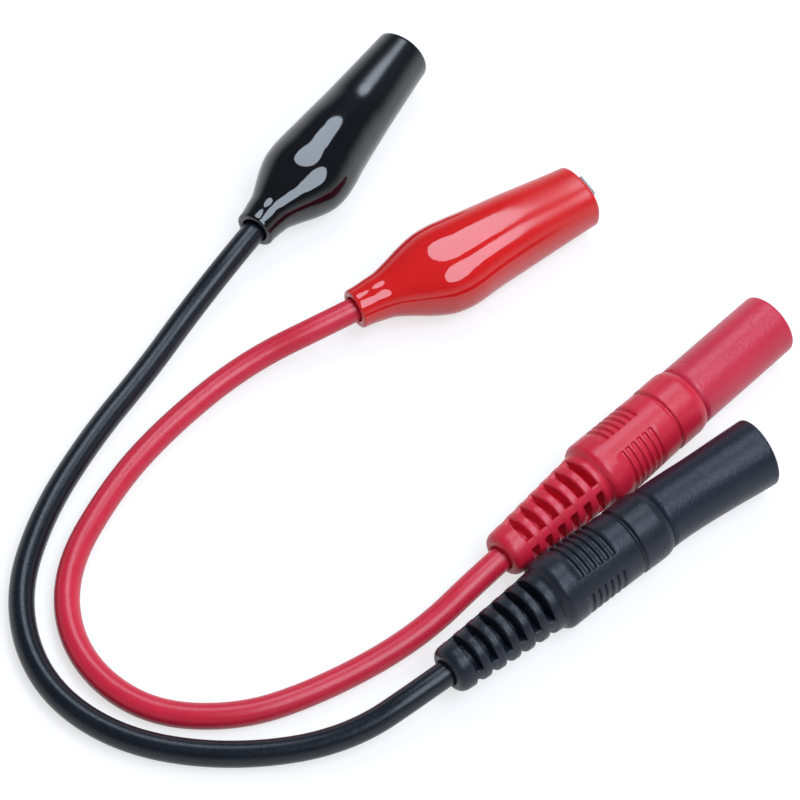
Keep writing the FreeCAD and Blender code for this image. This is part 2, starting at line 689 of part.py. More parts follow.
def tube(edges, radius):
    """Round tube along edges that join smoothly."""
    spine = Part.Wire(edges)
    way = edges[0].tangentAt(edges[0].FirstParameter)
    ring = Part.Wire(Part.makeCircle(radius, edges[0].valueAt(edges[0].FirstParameter), way))
    return spine.makePipeShell([ring], True, False).Solids[0]


def cable_route(lead, clip_end, plug_end):
    """Points from inside the clip to inside the plug. The ends run straight along the clip and the plug."""
    clip = (lead["clip"], CLIP_HEIGHT, lead["clip_heading"])
    plug = (lead["plug"], PLUG_HEIGHT, lead["plug_heading"])
    free = [Vector(x, y, CABLE_RADIUS + room) for x, y, room in lead["route"]]
    exits = [placed_point(-EXIT_RUN, 0, *clip), placed_point(-EXIT_RUN, 0, *plug)]
    ends = [placed_point(clip_end, 0, *clip), placed_point(plug_end, 0, *plug)]
    return ends[:1] + exits[:1] + free + exits[1:] + ends[1:]


def cable_radii(route):
    """Each bend is as large as the runs beside it allow."""
    radii = []
    for before, corner, after in zip(route, route[1:], route[2:]):
        back = before - corner
        ahead = after - corner
        half_turn = (math.pi - back.getAngle(ahead)) / 2
        radii.append(BEND_SHARE * min(back.Length, ahead.Length) / math.tan(half_turn))
    return radii


def cable_and_core(name, lead):
    jacket_route = cable_route(lead, JACKET_END_IN_CLIP, JACKET_IN_PLUG)
    core_route = cable_route(lead, CORE_END_IN_CLIP, CORE_END_IN_PLUG)
    radii = cable_radii(jacket_route)
    jacket_edges = rounded_edges(jacket_route, radii)
    outside = tube(jacket_edges, CABLE_RADIUS)
    length = sum(edge.Length for edge in jacket_edges)
    free_length = length - JACKET_END_IN_CLIP - JACKET_IN_PLUG
    print(name, "cable bends:", " ".join("%.1f" % radius for radius in radii))
    print(name, "cable free length: %.1f" % free_length)
    plain_volume = math.pi * CABLE_RADIUS**2 * length
    print(name, "cable volume over section times length: %.5f" % (outside.Volume / plain_volume))
    jacket = outside.cut(tube(jacket_edges, JACKET_BORE)).Solids[0]
    return jacket, tube(rounded_edges(core_route, radii), CORE_RADIUS)


def lead_pieces(name, lead):
    """Every piece of one lead where it lies."""
    clip = (lead["clip"], CLIP_HEIGHT, lead["clip_heading"])
    plug = (lead["plug"], PLUG_HEIGHT, lead["plug_heading"])
    boot_length = JAW_TIP - lead["jaw_proud"]
    jacket, core = cable_and_core(name, lead)
    pieces = {
        "cable": jacket,
        "core": core,
        "clip_boot": placed(clip_boot(boot_length, lead["mouth_width"]), *clip),
        "fixed_jaw": placed(fixed_jaw(), *clip),
        "moving_jaw": placed(moving_jaw(), *clip),
        "jaw_pin": placed(jaw_pin(), *clip),
        "jaw_spring": placed(jaw_spring(), *clip),
        "plug_grip": placed(plug_grip(lead["spine_angle"]), *plug),
        "plug_shroud": placed(plug_shroud(), *plug),
        "plug_contact": placed(plug_contact(), *plug),
        "contact_spring": placed(contact_spring(), *plug),
    }
    print(name, "jaw pivot:", placed_point(PIVOT_AT, 0, *clip))
    print(name, "jaw tip:", placed_point(JAW_TIP, 0, *clip))
    print(name, "contact middle:", placed_point((CONTACT_START + CONTACT_END) / 2, 0, *plug))
    print(name, "shroud middle:", placed_point((COLLAR_END + PLUG_END - EDGE_ROUND) / 2, 0, *plug))
    return pieces


os.makedirs("parts", exist_ok=True)
corners = FreeCAD.BoundBox()
for name, lead in LEADS.items():
    for piece, shape in lead_pieces(name, lead).items():
        if not shape.isValid() or len(shape.Solids) != 1:
            print("check", name, piece, "valid:", shape.isValid(), "solids:", len(shape.Solids))
        if piece not in ("cable", "core"):
            corners.add(shape.optimalBoundingBox(False, False))
        shape.exportStep("parts/%s_%s.step" % (name, piece))
print("middle of the clips and plugs: %.3f %.3f" % (corners.Center.x, corners.Center.y))
print("contact length: %.2f, shroud length: %.2f" % (CONTACT_END - CONTACT_START, SHROUD_REACH - EDGE_ROUND))
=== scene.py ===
import bpy
import math
from mathutils import Matrix, Vector


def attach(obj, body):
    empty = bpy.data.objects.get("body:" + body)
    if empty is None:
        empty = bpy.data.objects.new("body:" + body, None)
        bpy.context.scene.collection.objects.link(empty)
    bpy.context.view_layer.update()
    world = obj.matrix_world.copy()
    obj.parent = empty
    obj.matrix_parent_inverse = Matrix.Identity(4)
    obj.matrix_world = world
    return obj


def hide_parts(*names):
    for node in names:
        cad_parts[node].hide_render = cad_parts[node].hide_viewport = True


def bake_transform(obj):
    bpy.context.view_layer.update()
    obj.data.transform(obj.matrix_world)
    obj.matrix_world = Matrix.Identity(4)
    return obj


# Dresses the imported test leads: cables, boots, jaw springs, grips and sleeves are modelled here, and
# the other metal pieces stay as they are. Sizes are in millimetres, and MM turns them into metres.

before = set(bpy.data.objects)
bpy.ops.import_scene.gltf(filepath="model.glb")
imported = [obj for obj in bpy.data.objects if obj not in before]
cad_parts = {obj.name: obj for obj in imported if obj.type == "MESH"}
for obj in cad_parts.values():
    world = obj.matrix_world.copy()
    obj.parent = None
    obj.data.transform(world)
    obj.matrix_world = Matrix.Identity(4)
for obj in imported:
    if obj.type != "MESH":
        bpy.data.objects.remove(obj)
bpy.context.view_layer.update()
MM = 0.001
scene = bpy.context.scene

# Cables, and the heights of the clips' and plugs' axes
CABLE_RADIUS = 1.6
CLIP_HEIGHT = 4.8
PLUG_HEIGHT = 4.75
EXIT_RUN = 2.5
CABLE_IN_CLIP = 8.4
CABLE_IN_PLUG = 9.0

# Each lead's place and the sizes that differ between the leads. A route point is x, y and room below.
LEADS = {
    "red": {
        "clip": (-20.1, 4.85),
        "clip_heading": 32.0,
        "boot_length": 34.75,
        "boot_start": 0.0,
        "boot_slant": 0.1,
        "bulge_at": 13.8,
        "squareness": 2.4,
        "top_drop": (0.42, 1.0, 0.7),
        "dull_from": (16.0, 31.0),
        "mouth_width": 8.5,
        "plug": (-2.0, -32.0),
        "plug_heading": 44.9,
        "spines": (44.0, -60.0, 112.0, 200.0),
        "strip_angle": 6.0,
        "slot_shift": 0.0,
        "free_length": 124.2,
        "bow": ((0.0, 0.0), (25.0, 0.0), (49.1, 0.0)),
        "mouth_flare": 0.0,
        "mouth_reach": 0.0,
        "mouth_slant": 0.02,
        "route": (
            (-33.7, -1.6, 0.8),
            (-43.2, -10.6, 0.0),
            (-49.8, -19.8, 0.0),
            (-55.3, -32.5, 0.0),
            (-53.1, -43.8, 0.0),
            (-44.6, -51.4, 0.0),
            (-33.1, -52.2, 0.0),
            (-22.7, -48.0, 0.0),
            (-12.0, -41.6, 0.8),
        ),
    },
    "black": {
        "clip": (-33.5, 17.1),
        "clip_heading": 57.2,
        "boot_length": 36.3,
        "boot_start": 0.5,
        "boot_slant": 0.0,
        "bulge_at": 12.2,
        "squareness": 2.1,
        "top_drop": (0.28, 0.54, 0.5),
        "dull_from": (15.0, 30.0),
        "mouth_width": 7.8,
        "plug": (-8.65, -47.8),
        "plug_heading": 39.2,
        "spines": (76.0, -80.0, 178.0),
        "strip_angle": 44.0,
        "slot_shift": -0.42,
        "free_length": 125.5,
        "bow": (
            (0.0, 0.0),
            (8.0, 0.08),
            (14.0, 0.22),
            (20.0, 0.32),
            (30.0, 0.3),
            (35.0, 0.42),
            (42.0, 0.03),
            (49.1, -0.45),
        ),
        "mouth_flare": 0.3,
        "mouth_reach": 0.6,
        "mouth_slant": 0.13,
        "route": (
            (-41.3, 6.4, 0.8),
            (-46.6, -2.6, 0.0),
            (-52.9, -12.5, 0.0),
            (-58.5, -24.4, 0.0),
            (-60.7, -36.4, 0.0),
            (-56.8, -47.8, 0.0),
            (-47.3, -55.1, 0.0),
            (-34.3, -57.4, 0.0),
            (-20.6, -55.7, 0.8),
        ),
    },
}

# Plug sizes along the axis from the cable end
FIRST_SLOT = 2.68
SLOT_COUNT = 6
SLOT_WIDTH = 1.0
SLOT_PITCH = 2.15
RELIEF_END = 15.2
BARREL_START = 15.6
BARREL_END = 27.6
COLLAR_START = 28.1
COLLAR_END = 32.6
FLANGE_START = 27.4
SHROUD_START = 28.4
SHROUD_FLOOR = 31.3
PLUG_END = 49.1
PAD_START = 19.0
PAD_PITCH = 1.0
PAD_GROOVES = 6
PAD_GROOVE_WIDTH = 0.55
PAD_GROOVE_LEAD = 0.1

# Where a groove's wall begins and ends, measured inwards from the groove's edge
SLOT_WALL = (-0.04, 0.14)
PAD_GROOVE_WALL = (-0.08, 0.12)

# Plug sizes across the axis
RELIEF_REAR = 3.0
RELIEF_FRONT = 4.0
RELIEF_DIP = 0.22
BLOCK_ROUND = 0.9
SLOT_FLOOR = 1.8
RIB_ROUND = 0.26
SPINE_WIDTH = 1.2
SPINE_DROP = 0.06
SPINE_AT_RADIUS = 3.5
BARREL_RADIUS = 4.75
BARREL_TAPER = 0.3
SHOULDER_ROUND = 1.1
COLLAR_RADIUS = 4.52
COLLAR_NOSE = 1.3
COLLAR_NOSE_DROP = 0.27
NOSE_POWER = 2.2
GROOVE_DROP = 0.34
EDGE_BREAK = 0.12
STRIP_COUNT = 3
STRIP_WIDTH = 2.5
HALF_STRIP = math.degrees(STRIP_WIDTH / 2 / BARREL_RADIUS)
SPINE_EDGE = 0.8
STRIP_EDGE = 1.2
PAD_GROOVE_DEPTH = 0.3
SHROUD_RADIUS = 4.2
SHROUD_INNER = 3.2
SHROUD_ROOT = 4.0
CONTACT_HOLE = 1.58
RIM_ROUND = 0.22
MOUTH_FROM = COLLAR_END + 6.0
MOUTH_TO = PLUG_END + 2.0

# Hollow of the grip
SLEEVE_BORE = 4.03
FLANGE_BORE = 2.63
CUP_BORE = 1.73
CUP_START = 17.9
CORE_BORE = 0.7
CABLE_BORE = 1.7

# Boot sizes. BLEND_TURN gives a blend line turned from the lever's side, but the boot makes no blend.
BOOT_WALL = 0.95
ROUND_POWER = 2.0
RIM_SHARE = 0.6
LEAN_FROM = 20.0
LEAN_TO = 35.0
BLEND_TURN = 20.0
NECK_RADIUS = 2.65
NECK_LENGTH = 3.0
NECK_FLARE = 0.3
BULGE_WIRE_SIDE = 5.4
BULGE_LEVER_SIDE = 6.8
BULGE_HEIGHT = 9.6
MOUTH_HEIGHT = 7.8
FLARE = ((0.0, 0.0), (0.3, 0.15), (0.65, 0.5), (1.0, 1.0))
REAR_SWELL = ((0.15, 0.09), (0.35, 0.36), (0.55, 0.66), (0.78, 0.92), (1.0, 1.0))
FRONT_TAPER = ((0.1, 0.06), (0.2, 0.21), (0.3, 0.34), (0.4, 0.445), (0.5, 0.55))
FRONT_TAPER += ((0.6, 0.65), (0.7, 0.745), (0.8, 0.835), (0.9, 0.92), (1.0, 1.0))

# Jaw springs, in clip coordinates from the rivet
PIVOT_AT = 19.5
WIRE_RADIUS = 0.22
COIL_RADIUS = 1.2
COIL_TURNS = 2
COIL_ROOM = 2.2
LEVER_LEG_END = (-5.3, -3.73)
TAIL_LEG_END = (-5.0, 2.83)

# How finely the skins are divided
BOOT_STEPS = 120
BOOT_SIDES = 112
RIM_STEPS = 8
COIL_STEPS = 72
LEG_STEPS = 6
WIRE_SIDES = 12
GRIP_SIDES = 120
SLEEVE_SIDES = 120
SLEEVE_STEPS = 16
SLEEVE_RIM_STEPS = 6
EDGE_ANGLES = (-1.6, -0.9, -0.3, 0.3, 0.9, 1.6)

# Places along the grip where its skin is cut into rings, each from the start or end of a form
BLOCK_STEPS = (0.0, 0.01, 0.04, 0.1, 0.2, 0.35, 0.5, 0.7, 0.9, 1.3, 1.8, 2.2)
SLOT_STEPS = (-0.26, -0.2, -0.14, -0.09, -0.04, -0.01, 0.0, 0.03, 0.07, 0.11, 0.15, 0.3)
RELIEF_END_STEPS = (-0.3, -0.1, 0.0, 0.1, 0.2, 0.3)
SHOULDER_STEPS = (0.0, 0.02, 0.06, 0.12, 0.2, 0.3, 0.42, 0.56, 0.72, 0.9, 1.1, 1.7, 2.5)
PAD_GROOVE_STEPS = (-0.08, -0.03, 0.0, 0.04, 0.08, 0.12, 0.2)
BARREL_END_STEPS = (-2.4, -1.6, -0.8, -0.2, -0.12, -0.06, 0.0, 0.01)
COLLAR_START_STEPS = (-0.01, 0.0, 0.06, 0.12, 0.2, 0.9, 1.9, 2.9, 3.2)
NOSE_STEPS = (-1.15, -1.0, -0.85, -0.7, -0.55, -0.4, -0.3, -0.2, -0.1, -0.03, 0.0)


def smoothstep(low, high, value):
    """0 below low, 1 above high, and an even curve between them."""
    share = min(1.0, max(0.0, (value - low) / (high - low)))
    return share * share * (3 - 2 * share)


def place_of(spot, height, heading):
    """Matrix from a clip's or plug's own millimetres to the frame's metres."""
    move = Matrix.Translation(Vector((spot[0], spot[1], height)) * MM)
    return move @ Matrix.Rotation(math.radians(heading), 4, "Z") @ Matrix.Scale(MM, 4)


def ring_mesh(name, rings, place):
    """Closed skin over rings of points, where the last ring joins the first again."""
    count = len(rings[0])
    points = [place @ Vector(point) for ring in rings for point in ring]
    faces = []
    for row in range(len(rings)):
        this = row * count
        after = (row + 1) % len(rings) * count
        for column in range(count):
            right = (column + 1) % count
            faces.append((this + column, this + right, after + right, after + column))
    mesh = bpy.data.meshes.new(name)
    mesh.from_pydata(points, [], faces)
    mesh.update()
    piece = bpy.data.objects.new(name, mesh)
    scene.collection.objects.link(piece)
    for polygon in mesh.polygons:
        polygon.use_smooth = True
    return piece


def axis_point(x, radius, angle, bow):
    """Point round the plug's bowed axis. The angle runs from the top towards the right-hand side."""
    turn = math.radians(angle)
    return (x, bow - radius * math.sin(turn), radius * math.cos(turn))


# Materials


def new_material(name, colour, roughness):
    """Material of one colour, with its shader."""
    material = bpy.data.materials.new(name)
    material.use_nodes = True
    shader = material.node_tree.nodes["Principled BSDF"]
    shader.inputs["Base Color"].default_value = (*colour, 1.0)
    shader.inputs["Roughness"].default_value = roughness
    return material, shader


def noise_node(tree, scale, detail, roughness=0.5):
    """Noise fixed to the piece, from 0 to 1."""
    place = tree.nodes.new("ShaderNodeTexCoord")
    noise = tree.nodes.new("ShaderNodeTexNoise")
    noise.inputs["Scale"].default_value = scale
    noise.inputs["Detail"].default_value = detail
    noise.inputs["Roughness"].default_value = roughness
    tree.links.new(place.outputs["Object"], noise.inputs["Vector"])
    return noise.outputs["Fac"]


def spread(tree, value, low, high, start=0.3, end=0.7):
    """A noise value stretched to run from low to high."""
    node = tree.nodes.new("ShaderNodeMapRange")
    node.inputs["From Min"].default_value = start
    node.inputs["From Max"].default_value = end
    node.inputs["To Min"].default_value = low
    node.inputs["To Max"].default_value = high
    tree.links.new(value, node.inputs["Value"])
    return node.outputs["Result"]


def two_tone(tree, value, dark, light, start=0.3, end=0.7):
    """A noise value turned into a colour from dark to light."""
    node = tree.nodes.new("ShaderNodeValToRGB")
    node.color_ramp.elements[0].position = start
    node.color_ramp.elements[0].color = (*dark, 1.0)
    node.color_ramp.elements[1].position = end
    node.color_ramp.elements[1].color = (*light, 1.0)
    tree.links.new(value, node.inputs["Fac"])
    return node.outputs["Color"]


def add_bump(tree, shader, value, strength, distance):
    """Raises and lowers the skin's shading by a noise value."""
    bump = tree.nodes.new("ShaderNodeBump")
    bump.inputs["Strength"].default_value = strength
    bump.inputs["Distance"].default_value = distance
    tree.links.new(value, bump.inputs["Height"])
    tree.links.new(bump.outputs["Normal"], shader.inputs["Normal"])


def plastic(name, tones, rough, gloss, grain):
    """Moulded plastic with cloudy colour, uneven gloss and a fine skin grain."""
    dark, light = tones
    grain_scale, grain_depth = grain
    material, shader = new_material(name, light, rough)
    tree = material.node_tree
    cloud = noise_node(tree, scale=160.0, detail=4.0)
    skin = noise_node(tree, scale=grain_scale, detail=3.0, roughness=0.6)
    uneven = spread(tree, skin, low=rough - GLOSS_SWAY, high=rough + GLOSS_SWAY)
    tree.links.new(two_tone(tree, cloud, dark, light), shader.inputs["Base Color"])
    tree.links.new(uneven, shader.inputs["Roughness"])
    add_bump(tree, shader, skin, strength=0.6, distance=grain_depth)
    shader.inputs["Specular IOR Level"].default_value = gloss
    return material


def dipped_vinyl(name, tones, front_rough, gloss_index):
    """Wet-looking vinyl with slow waves from dipping, cloudy colour and a duller front."""
    dark, light = tones
    material, shader = new_material(name, light, WET_ROUGH)
    tree = material.node_tree
    cloud = noise_node(tree, scale=130.0, detail=3.0)
    waves = noise_node(tree, scale=190.0, detail=5.0, roughness=0.3)
    front = tree.nodes.new("ShaderNodeAttribute")
    front.attribute_name = "front"
    dulled = spread(tree, front.outputs["Fac"], low=WET_ROUGH, high=front_rough, start=0.0, end=1.0)
    tree.links.new(two_tone(tree, cloud, dark, light), shader.inputs["Base Color"])
    tree.links.new(dulled, shader.inputs["Roughness"])
    add_bump(tree, shader, waves, strength=0.5, distance=0.0001)
    shader.inputs["IOR"].default_value = gloss_index
    return material


def metal(name, tones, rough):
    """Pressed or turned metal with fine scratches and slight tarnish."""
    dark, light = tones
    smooth, coarse = rough
    material, shader = new_material(name, light, coarse)
    tree = material.node_tree
    tarnish = noise_node(tree, scale=420.0, detail=5.0)
    scratch = noise_node(tree, scale=2600.0, detail=2.0)
    tree.links.new(two_tone(tree, tarnish, dark, light), shader.inputs["Base Color"])
    tree.links.new(spread(tree, scratch, low=smooth, high=coarse), shader.inputs["Roughness"])
    add_bump(tree, shader, scratch, strength=0.25, distance=0.00002)
    shader.inputs["Metallic"].default_value = 1.0
    return material


# Roughness of wet vinyl, and how far the plastics' roughness sways
WET_ROUGH = 0.05
GLOSS_SWAY = 0.06

# Scale and depth of the plastics' grain
CABLE_GRAIN = (2200.0, 0.00001)
RED_GRIP_GRAIN = (2600.0, 0.00005)
BLACK_GRIP_GRAIN = (2600.0, 0.00006)
SHROUD_GRAIN = (2600.0, 0.0001)

# Dark and light tone of each material
RED_BOOT = ((0.72, 0.011, 0.012), (0.78, 0.016, 0.017))
RED_CABLE = ((0.67, 0.017, 0.047), (0.745, 0.024, 0.058))
RED_GRIP = ((0.66, 0.014, 0.041), (0.73, 0.020, 0.051))
RED_SHROUD = ((0.62, 0.022, 0.058), (0.68, 0.030, 0.069))
BLACK_BOOT = ((0.003, 0.003, 0.005), (0.005, 0.005, 0.008))
BLACK_CABLE = ((0.007, 0.009, 0.015), (0.011, 0.013, 0.020))
BLACK_GRIP = ((0.010, 0.012, 0.020), (0.015, 0.018, 0.028))
BLACK_SHROUD = ((0.011, 0.014, 0.025), (0.017, 0.021, 0.034))
STEEL = ((0.15, 0.15, 0.16), (0.23, 0.23, 0.24))
SPRING_STEEL = ((0.42, 0.42, 0.42), (0.60, 0.60, 0.60))
BRASS = ((0.62, 0.47, 0.22), (0.80, 0.64, 0.34))
SPRING_BRASS = ((0.66, 0.50, 0.24), (0.84, 0.67, 0.36))
COPPER = ((0.60, 0.28, 0.17), (0.78, 0.40, 0.26))
MATERIALS = {
    "red_boot": dipped_vinyl("red_boot", RED_BOOT, front_rough=0.265, gloss_index=1.58),
    "red_cable": plastic("red_cable", RED_CABLE, rough=0.32, gloss=0.5, grain=CABLE_GRAIN),
    "red_grip": plastic("red_grip", RED_GRIP, rough=0.34, gloss=0.5, grain=RED_GRIP_GRAIN),
    "red_shroud": plastic("red_shroud", RED_SHROUD, rough=0.33, gloss=0.45, grain=SHROUD_GRAIN),
    "black_boot": dipped_vinyl("black_boot", BLACK_BOOT, front_rough=0.2, gloss_index=1.68),
    "black_cable": plastic("black_cable", BLACK_CABLE, rough=0.29, gloss=0.4, grain=CABLE_GRAIN),
    "black_grip": plastic("black_grip", BLACK_GRIP, rough=0.35, gloss=0.33, grain=BLACK_GRIP_GRAIN),
    "black_shroud": plastic("black_shroud", BLACK_SHROUD, rough=0.33, gloss=0.29, grain=SHROUD_GRAIN),
    "steel": metal("steel", STEEL, rough=(0.28, 0.42)),
    "spring_steel": metal("spring_steel", SPRING_STEEL, rough=(0.24, 0.36)),
    "brass": metal("brass", BRASS, rough=(0.20, 0.32)),
    "spring_brass": metal("spring_brass", SPRING_BRASS, rough=(0.18, 0.30)),
    "copper": metal("copper", COPPER, rough=(0.24, 0.38)),
}


def finish_piece(piece, slot):
    """Gives a piece its one material, the one kept under the slot's name."""
    piece.data.materials.clear()
    piece.data.materials.append(MATERIALS[slot])


# Cables


def cable(name, lead):
    """Round cable on a smooth line through the lead's route."""
    clip = place_of(lead["clip"], CLIP_HEIGHT, lead["clip_heading"])
    plug = place_of(lead["plug"], PLUG_HEIGHT, lead["plug_heading"])
    points = [clip @ Vector((CABLE_IN_CLIP, 0, 0)), clip @ Vector((-EXIT_RUN, 0, 0))]
    points += [Vector((x, y, CABLE_RADIUS + room)) * MM for x, y, room in lead["route"]]
    points += [plug @ Vector((-EXIT_RUN, 0, 0)), plug @ Vector((CABLE_IN_PLUG, 0, 0))]
    curve = bpy.data.curves.new(name + "_cable_skin", "CURVE")
    curve.dimensions = "3D"
    curve.bevel_depth = CABLE_RADIUS * MM
    curve.bevel_resolution = 10
    curve.resolution_u = 24
    curve.use_fill_caps = True
    spline = curve.splines.new("NURBS")
    spline.points.add(len(points) - 1)
    for target, point in zip(spline.points, points):
        target.co = (*point, 1.0)
    spline.order_u = 3
    spline.use_endpoint_u = True
    piece = bpy.data.objects.new(name + "_cable_skin", curve)
    scene.collection.objects.link(piece)
    finish_piece(piece, name + "_cable")
    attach(piece, name + "_lead")
    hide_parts(name + "_cable")


# Boots


def boot_stations(lead):
    """Half sizes along the boot: x, then wire side, lever side, height and squareness."""
    neck_end = NECK_RADIUS + NECK_FLARE
    bulge = (BULGE_WIRE_SIDE, BULGE_LEVER_SIDE, BULGE_HEIGHT / 2)
    mouth = (lead["mouth_width"] / 2, lead["mouth_width"] / 2, MOUTH_HEIGHT / 2)
    bulge_at = lead["bulge_at"]
    square = lead["squareness"]
    start = lead["boot_start"]
    drop_from, drop_to, drop = lead["top_drop"]
    stations = []
    for along, flare in FLARE:
        sizes = [NECK_RADIUS + flare * NECK_FLARE] * 3
        stations.append((start + along * (NECK_LENGTH - start), sizes + [ROUND_POWER]))
    for along, swell in REAR_SWELL:
        sizes = [neck_end + swell * (size - neck_end) for size in bulge]
        x = NECK_LENGTH + along * (bulge_at - NECK_LENGTH)
        stations.append((x, sizes + [ROUND_POWER + swell * (square - ROUND_POWER)]))
    for along, taper in FRONT_TAPER:
        sides = [wide + taper * (narrow - wide) for wide, narrow in zip(bulge[:2], mouth)]
        fall = along * (1 - drop) + drop * smoothstep(drop_from, drop_to, along)
        top = bulge[2] + fall * (mouth[2] - bulge[2])
        x = bulge_at + along * (lead["boot_length"] - bulge_at)
        stations.append((x, sides + [top, square]))
    return stations


def between(stations, x):
    """Sizes at x on a smooth curve through the stations."""
    last = len(stations) - 1
    step = 0
    while step < last - 1 and stations[step + 1][0] < x:
        step += 1
    start = stations[step][0]
    run = stations[step + 1][0] - start
    share = (x - start) / run
    cube = share**3
    square = share**2
    sizes = []
    for number in range(len(stations[0][1])):
        slopes = []
        for middle in (step, step + 1):
            back = stations[max(middle - 1, 0)]
            ahead = stations[min(middle + 1, last)]
            slopes.append((ahead[1][number] - back[1][number]) / (ahead[0] - back[0]) * run)
        first = (2 * cube - 3 * square + 1) * stations[step][1][number]
        second = (3 * square - 2 * cube) * stations[step + 1][1][number]
        bend = (cube - 2 * square + share) * slopes[0] + (cube - square) * slopes[1]
        sizes.append(first + second + bend)
    return sizes


def boot_ring(stations, slant, x, inset):
    """Ring of the boot's skin, leaning more and more towards the mouth."""
    wire_side, lever_side, height, square = between(stations, x)
    lean = slant * smoothstep(LEAN_FROM, LEAN_TO, x)
    ring = []
    for number in range(BOOT_SIDES):
        angle = 2 * math.pi * number / BOOT_SIDES
        across = math.copysign(abs(math.cos(angle)) ** (2 / square), math.cos(angle))
        up = math.copysign(abs(math.sin(angle)) ** (2 / square), math.sin(angle))
        side = wire_side if across > 0 else lever_side
        y = (side - inset) * across
        ring.append((x - lean * y, y, (height - inset) * up))
    return ring


def boot(name, lead):
    """Dipped boot: outside, rounded mouth rim, inside and the neck's rounded end."""
    start = lead["boot_start"]
    length = lead["boot_length"]
    slant = lead["boot_slant"]
    stations = boot_stations(lead)
    half_wall = BOOT_WALL / 2
    rim = half_wall * RIM_SHARE
    run = length - start - 2 * rim
    rings = []
    for number in range(BOOT_STEPS + 1):
        x = start + rim + run * number / BOOT_STEPS
        rings.append(boot_ring(stations, slant, x, 0.0))
    for turn in range(1, RIM_STEPS):
        angle = math.pi * turn / RIM_STEPS
        x = length - rim * (1 - math.sin(angle))
        rings.append(boot_ring(stations, slant, x, half_wall * (1 - math.cos(angle))))
    for number in range(BOOT_STEPS // 2 + 1):
        x = length - rim - run * number * 2 / BOOT_STEPS
        rings.append(boot_ring(stations, slant, x, BOOT_WALL))
    for turn in range(1, RIM_STEPS):
        angle = math.pi * turn / RIM_STEPS
        x = start + rim * (1 - math.sin(angle))
        rings.append(boot_ring(stations, slant, x, half_wall * (1 + math.cos(angle))))
    place = place_of(lead["clip"], CLIP_HEIGHT, lead["clip_heading"])
    piece = ring_mesh(name + "_boot_skin", rings, place)
    front = piece.data.attributes.new("front", "FLOAT", "POINT")
    shares = [smoothstep(*lead["dull_from"], point[0]) for ring in rings for point in ring]
    front.data.foreach_set("value", shares)
    finish_piece(piece, name + "_boot")
    turn = math.radians(BLEND_TURN)
    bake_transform(piece)
    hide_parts(name + "_clip_boot")


# Jaw springs


def leg_turn(leg_end, side):
    """Angle on the coil where a straight leg to the given point is tangent."""
    away = math.atan2(leg_end[1], leg_end[0])
    return away + side * math.acos(COIL_RADIUS / math.hypot(*leg_end))


def spring_line():
    """Points from the lever's end of the wire, round the coil, to the tail's end."""
    first = leg_turn(LEVER_LEG_END, 1)
    last = leg_turn(TAIL_LEG_END, -1) + 2 * math.pi * COIL_TURNS
    coil = []
    for number in range(COIL_STEPS + 1):
        share = number / COIL_STEPS
        angle = first + (last - first) * share
        x = COIL_RADIUS * math.cos(angle)
        y = COIL_RADIUS * math.sin(angle)
        coil.append(Vector((x, y, COIL_ROOM * (share - 0.5))))
    lever_end = Vector((*LEVER_LEG_END, coil[0].z))
    tail_end = Vector((*TAIL_LEG_END, coil[-1].z))
    lever_leg = [lever_end.lerp(coil[0], number / LEG_STEPS) for number in range(LEG_STEPS)]
    tail_leg = [coil[-1].lerp(tail_end, number / LEG_STEPS) for number in range(1, LEG_STEPS + 1)]
    return [point + Vector((PIVOT_AT, 0, 0)) for point in lever_leg + coil + tail_leg]


def jaw_spring(name, lead):
    """Torsion spring: a coil with one straight leg to the lever and one to the tail."""
    line = spring_line()
    points = []
    for number, point in enumerate(line):
        way = line[min(number + 1, len(line) - 1)] - line[max(number - 1, 0)]
        side = way.cross(Vector((0, 0, 1))).normalized()
        up = side.cross(way).normalized()
        for turn in range(WIRE_SIDES):
            angle = 2 * math.pi * turn / WIRE_SIDES
            points.append(point + WIRE_RADIUS * (math.cos(angle) * side + math.sin(angle) * up))
    faces = [tuple(range(WIRE_SIDES)), tuple(reversed(range(len(points) - WIRE_SIDES, len(points))))]
    for row in range(len(line) - 1):
        this = row * WIRE_SIDES
        after = this + WIRE_SIDES
        for column in range(WIRE_SIDES):
            right = (column + 1) % WIRE_SIDES
            faces.append((this + column, after + column, after + right, this + right))
    place = place_of(lead["clip"], CLIP_HEIGHT, lead["clip_heading"])
    mesh = bpy.data.meshes.new(name + "_jaw_spring_wire")
    mesh.from_pydata([place @ point for point in points], [], faces)
    mesh.update()
    for polygon in mesh.polygons:
        polygon.use_smooth = len(polygon.vertices) == 4
    piece = bpy.data.objects.new(name + "_jaw_spring_wire", mesh)
    scene.collection.objects.link(piece)
    finish_piece(piece, "spring_steel")
    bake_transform(piece)
    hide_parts(name + "_jaw_spring")


# Plug grips


def bow_at(lead, x):
    """How far the soft plug's middle lies to the left of its straight axis."""
    stations = [(along, [offset]) for along, offset in lead["bow"]]
    return between(stations, min(max(x, stations[0][0]), stations[-1][0]))[0]


def relief_radius(x):
    """Outside of the strain relief, which widens evenly towards the barrel."""
    return RELIEF_REAR + (RELIEF_FRONT - RELIEF_REAR) * x / RELIEF_END


def slot_depth(x, top):
    """How far the strain relief's slots cut below the ribs, with rounded rib edges."""
    pitch_at = (x - FIRST_SLOT + RIB_ROUND) % SLOT_PITCH - RIB_ROUND
    number = int((x - FIRST_SLOT + RIB_ROUND) // SLOT_PITCH)
    if not 0 <= number < SLOT_COUNT or pitch_at > SLOT_WIDTH + RIB_ROUND:
        return 0.0
    inside = min(pitch_at, SLOT_WIDTH - pitch_at)
    if inside < 0:
        return RIB_ROUND - math.sqrt(max(0.0, RIB_ROUND**2 - (inside + RIB_ROUND) ** 2))
    return RIB_ROUND + (top - SLOT_FLOOR - RIB_ROUND) * smoothstep(*SLOT_WALL, inside)


